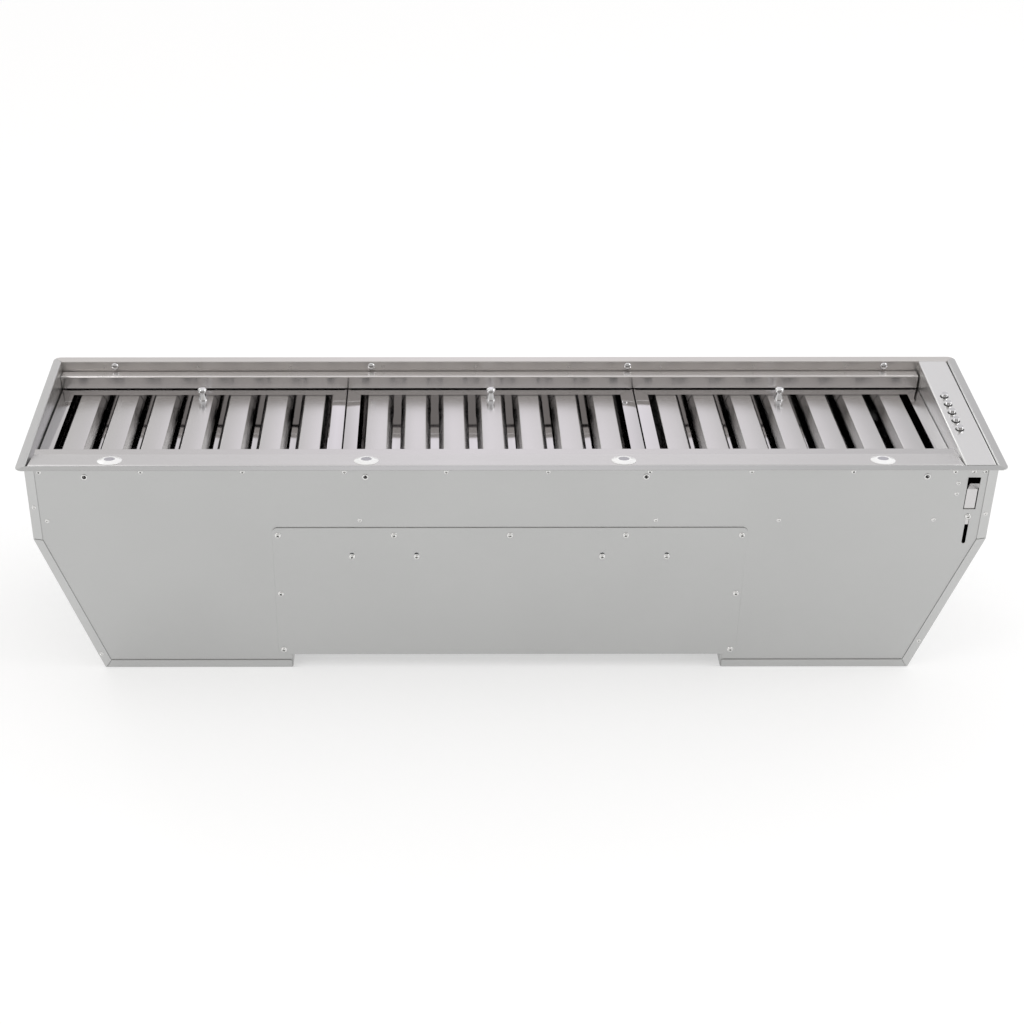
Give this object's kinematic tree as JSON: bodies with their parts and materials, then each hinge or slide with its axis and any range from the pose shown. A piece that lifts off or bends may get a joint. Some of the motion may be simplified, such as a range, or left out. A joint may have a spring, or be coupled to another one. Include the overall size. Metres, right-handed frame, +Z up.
{
  "type": "range hood insert",
  "caption": "Slim stainless range hood insert with baffle filters, push buttons, lamps, a twin blower and a rectangular duct collar, for building into a cabinet above a cooktop.",
  "frame": {"origin": "middle of the insert in X and Y, at the level of the two feet that it stands on", "axes": "+X along the insert towards the control panel, +Y from the wall with the access cover to the far wall, +Z up out of the intake face. The insert stands upside down here, as pictured: installed, it is turned over about X, so that +Z points down at the cooktop and the duct collar points up."},
  "size_m": [1.178, 0.284, 0.3028],
  "materials": {
    "satin_sheet": "satin stainless sheet",
    "bright_sheet": "fine-brushed bright stainless sheet",
    "polished_channel": "near-mirror stainless",
    "chrome": "polished",
    "screw_steel": "bright plated",
    "galvanised": "galvanised sheet",
    "wheel_steel": "galvanised, dull",
    "aluminium": "mill finish",
    "motor_paint": "satin black",
    "black_plastic": "matte",
    "white_plastic": "gloss",
    "lens": "frosted lens",
    "grey_plastic": "matte"
  },
  "bodies": {
    "hood": {"near_panel": "satin_sheet", "far_panel": "satin_sheet", "left_end_panel": "satin_sheet", "right_end_panel": "satin_sheet", "bottom_deck": "satin_sheet", "foot_pans": "satin_sheet", "access_cover": "satin_sheet", "light_strip": "bright_sheet", "rear_ledge": "bright_sheet", "front_rest_rail": "bright_sheet", "rear_rest_rail": "bright_sheet", "control_panel": "bright_sheet", "switch_block": "black_plastic", "cover_screws": "screw_steel", "flange_screws": "screw_steel", "seam_screws": "screw_steel", "mounting_nuts": "screw_steel", "dome_screws": "chrome", "scroll_housing_left": "galvanised", "scroll_housing_right": "galvanised", "blower_motor": "motor_paint", "motor_bracket": "galvanised", "blower_plate": "galvanised", "duct_collar": "galvanised", "damper_rods": "screw_steel", "junction_box": "galvanised", "cable_gland": "black_plastic", "led_driver": "grey_plastic", "lamp_housing_1": "white_plastic", "lamp_lens_1": "lens", "lamp_housing_2": "white_plastic", "lamp_lens_2": "lens", "lamp_housing_3": "white_plastic", "lamp_lens_3": "lens", "lamp_housing_4": "white_plastic", "lamp_lens_4": "lens"},
    "clamp": {"clamp_bracket": "bright_sheet", "clamp_screw": "screw_steel"},
    "blower_rotor": {"impeller_left": "wheel_steel", "impeller_right": "wheel_steel", "blower_shaft": "screw_steel"},
    "flap_near": {"damper_flap_near": "aluminium"},
    "flap_far": {"damper_flap_far": "aluminium"},
    "button_1": {"button_1": "chrome"},
    "button_2": {"button_2": "chrome"},
    "button_3": {"button_3": "chrome"},
    "button_4": {"button_4": "chrome"},
    "button_5": {"button_5": "chrome"},
    "filter_left": {"filter_frame_left": "polished_channel", "filter_baffles_left": "bright_sheet", "filter_channels_left": "polished_channel", "filter_knob_left": "chrome"},
    "filter_middle": {"filter_frame_middle": "polished_channel", "filter_baffles_middle": "bright_sheet", "filter_channels_middle": "polished_channel", "filter_knob_middle": "chrome"},
    "filter_right": {"filter_frame_right": "polished_channel", "filter_baffles_right": "bright_sheet", "filter_channels_right": "polished_channel", "filter_knob_right": "chrome"}
  },
  "joints": [
    {"name": "filter_left_swing", "type": "hinge", "parent": "hood", "child": "filter_left", "pos_m": [-0.391, -0.07789, 0.25332], "axis": [1, 0, 0], "range_deg": [0, 55]},
    {"name": "filter_middle_swing", "type": "hinge", "parent": "hood", "child": "filter_middle", "pos_m": [-0.0185, -0.07789, 0.25332], "axis": [1, 0, 0], "range_deg": [0, 55]},
    {"name": "filter_right_swing", "type": "hinge", "parent": "hood", "child": "filter_right", "pos_m": [0.354, -0.07789, 0.25332], "axis": [1, 0, 0], "range_deg": [0, 55]},
    {"name": "button_1_press", "type": "slide", "parent": "hood", "child": "button_1", "axis": [0, 0, -1], "range_m": [0, 0.002], "stiffness_N_per_m": 400, "springref_m": -0.001},
    {"name": "button_2_press", "type": "slide", "parent": "hood", "child": "button_2", "axis": [0, 0, -1], "range_m": [0, 0.002], "stiffness_N_per_m": 400, "springref_m": -0.001},
    {"name": "button_3_press", "type": "slide", "parent": "hood", "child": "button_3", "axis": [0, 0, -1], "range_m": [0, 0.002], "stiffness_N_per_m": 400, "springref_m": -0.001},
    {"name": "button_4_press", "type": "slide", "parent": "hood", "child": "button_4", "axis": [0, 0, -1], "range_m": [0, 0.002], "stiffness_N_per_m": 400, "springref_m": -0.001},
    {"name": "button_5_press", "type": "slide", "parent": "hood", "child": "button_5", "axis": [0, 0, -1], "range_m": [0, 0.002], "stiffness_N_per_m": 400, "springref_m": -0.001},
    {"name": "clamp_slide", "type": "slide", "parent": "hood", "child": "clamp", "axis": [0, 0, -1], "range_m": [0, 0.025]},
    {"name": "blower_spin", "type": "hinge", "parent": "hood", "child": "blower_rotor", "pos_m": [0, -0.038, 0.138], "axis": [1, 0, 0], "continuous": true},
    {"name": "flap_near_swing", "type": "hinge", "parent": "hood", "child": "flap_near", "pos_m": [0, 0.0385, 0.05], "axis": [1, 0, 0], "range_deg": [0, 80], "stiffness_Nm_per_rad": 0.02, "springref_deg": -40.11},
    {"name": "flap_far_swing", "type": "hinge", "parent": "hood", "child": "flap_far", "pos_m": [0, 0.0455, 0.05], "axis": [-1, 0, 0], "range_deg": [0, 80], "stiffness_Nm_per_rad": 0.02, "springref_deg": -40.11}
  ]
}
